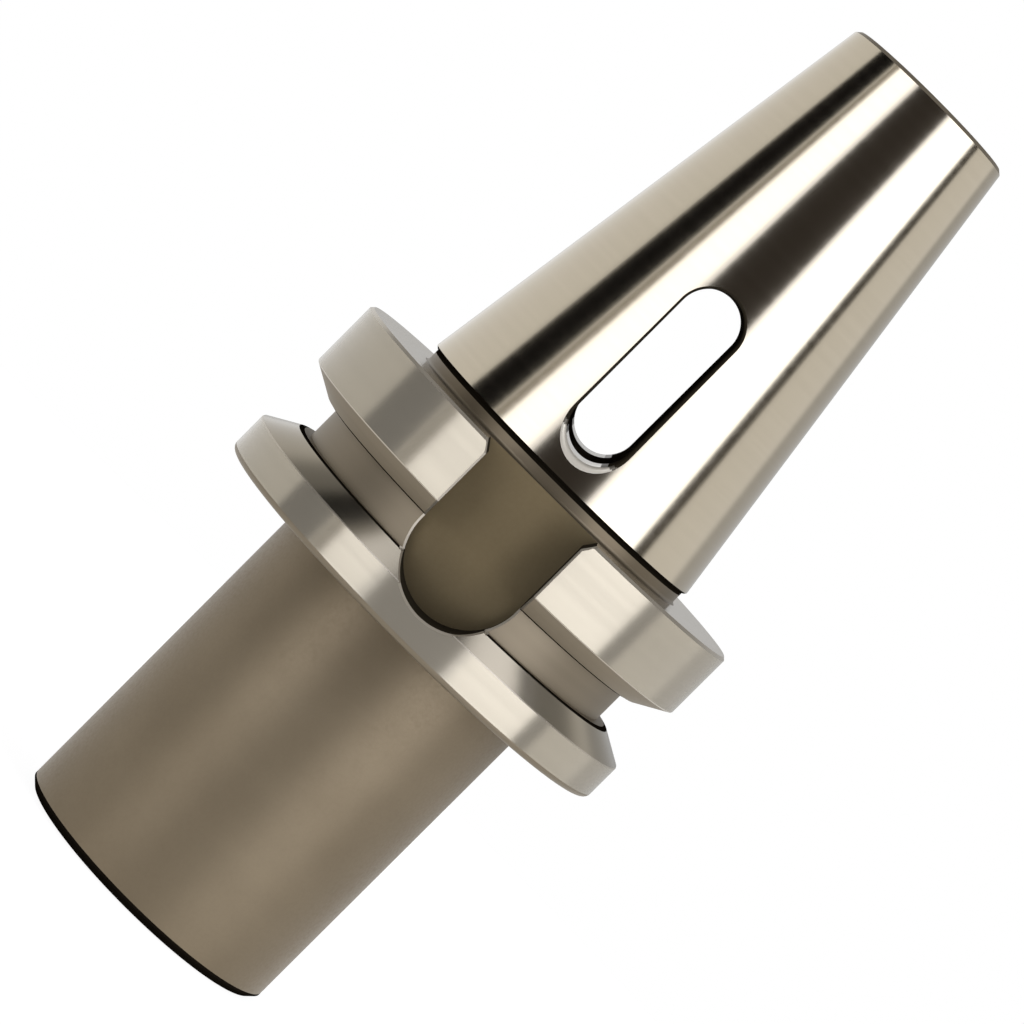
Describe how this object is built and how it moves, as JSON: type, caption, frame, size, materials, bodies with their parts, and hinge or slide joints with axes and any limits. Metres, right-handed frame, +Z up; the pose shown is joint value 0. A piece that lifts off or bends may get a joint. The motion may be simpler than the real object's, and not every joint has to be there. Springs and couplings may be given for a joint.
{
  "type": "morse taper holder",
  "caption": "Steel tool holder: steep spindle taper with a drift slot, flange with V groove and drive keyways, and a plain nose with a self-holding taper socket.",
  "frame": {"origin": "centre of the nose face, on the axis", "axes": "+Z up the axis to the small end of the spindle taper, +Y and -Y through the keyways and the drift slot"},
  "size_m": [0.063, 0.063, 0.1404],
  "materials": {
    "hardened_steel": "ground bright on the taper, fine turned on the flange, dull grey-brown on the nose and in the keyways"
  },
  "bodies": {
    "root": {"holder_body": "hardened_steel"}
  },
  "joints": []
}
